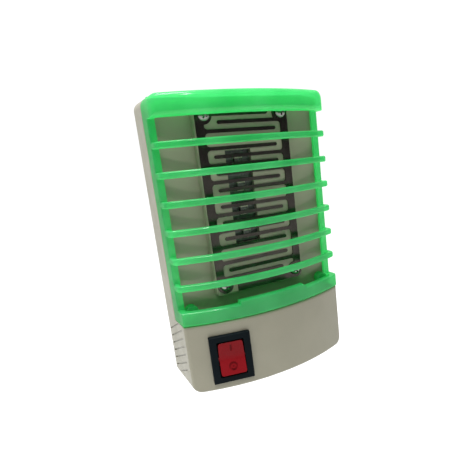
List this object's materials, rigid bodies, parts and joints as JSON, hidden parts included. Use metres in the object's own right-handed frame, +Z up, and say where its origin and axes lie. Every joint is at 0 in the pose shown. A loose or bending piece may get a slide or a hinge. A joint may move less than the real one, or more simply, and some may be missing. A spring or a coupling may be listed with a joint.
{
  "type": "electric bug zapper",
  "caption": "Plug-in electric bug zapper: white case with a bowed, barred green front over two interleaved metal combs, lamps behind a window, and a red rocker switch.",
  "frame": {"origin": "centre of the flat back, halfway between the two plug pins", "axes": "+X to the right seen from the front, +Y into the wall along the plug pins, +Z up"},
  "size_m": [0.062, 0.0486, 0.098],
  "materials": {
    "white_plastic": "satin",
    "sleeve_plastic": "satin",
    "green_plastic": "clear tinted, polished",
    "comb_steel": "bright rolled",
    "screw_steel": "bright plated",
    "board_green": "solder mask",
    "lamp_white": "white tray with clear resin",
    "capacitor_red": "dipped",
    "diode_black": "moulded",
    "resistor_tan": "lacquered",
    "pin_metal": "nickel plated",
    "frame_black": "satin",
    "rocker_red": "clear red",
    "plunger_white": "moulded",
    "contact_brass": "stamped",
    "lead_brown": "soft PVC",
    "lead_black": "soft PVC",
    "lead_blue": "soft PVC",
    "lead_white": "soft PVC"
  },
  "bodies": {
    "case": {"housing": "white_plastic", "rear_cover": "white_plastic", "rear_screws": "screw_steel", "left_comb": "comb_steel", "right_comb": "comb_steel", "comb_screw_1": "screw_steel", "comb_screw_2": "screw_steel", "comb_screw_3": "screw_steel", "comb_screw_4": "screw_steel", "circuit_board": "board_green", "board_screws": "screw_steel", "led_1": "lamp_white", "led_2": "lamp_white", "led_3": "lamp_white", "led_4": "lamp_white", "capacitor_1": "capacitor_red", "capacitor_2": "capacitor_red", "capacitor_3": "capacitor_red", "capacitor_4": "capacitor_red", "diode_1": "diode_black", "diode_2": "diode_black", "diode_3": "diode_black", "diode_4": "diode_black", "resistor_1": "resistor_tan", "resistor_2": "resistor_tan", "resistor_3": "resistor_tan", "left_pin": "pin_metal", "right_pin": "pin_metal", "left_pin_sleeve": "sleeve_plastic", "right_pin_sleeve": "sleeve_plastic", "switch_body": "frame_black", "common_terminal": "contact_brass", "switched_terminal": "contact_brass", "live_lead": "lead_brown", "switched_lead": "lead_black", "neutral_lead": "lead_blue", "left_comb_lead": "lead_white", "right_comb_lead": "lead_white"},
    "grille": {"front_grille": "green_plastic"},
    "rocker": {"switch_rocker": "rocker_red", "switch_plunger": "plunger_white"},
    "contact": {"switch_contact": "contact_brass"}
  },
  "joints": [
    {"name": "grille_slide", "type": "slide", "parent": "case", "child": "grille", "axis": [0, -1, 0], "range_m": [0, 0.03]},
    {"name": "rocker_hinge", "type": "hinge", "parent": "case", "child": "rocker", "pos_m": [-0.0177, -0.02509, -0.0485], "axis": [0.9694, -0.2453, 0], "range_deg": [0, 22]},
    {"name": "contact_hinge", "type": "hinge", "parent": "case", "child": "contact", "pos_m": [-0.01542, -0.01608, -0.0485], "axis": [-0.9694, 0.2453, 0], "range_deg": [0, 12]}
  ],
  "couplings": [
    {"joint": "contact_hinge", "follows": "rocker_hinge", "ratio": 0.54546}
  ]
}
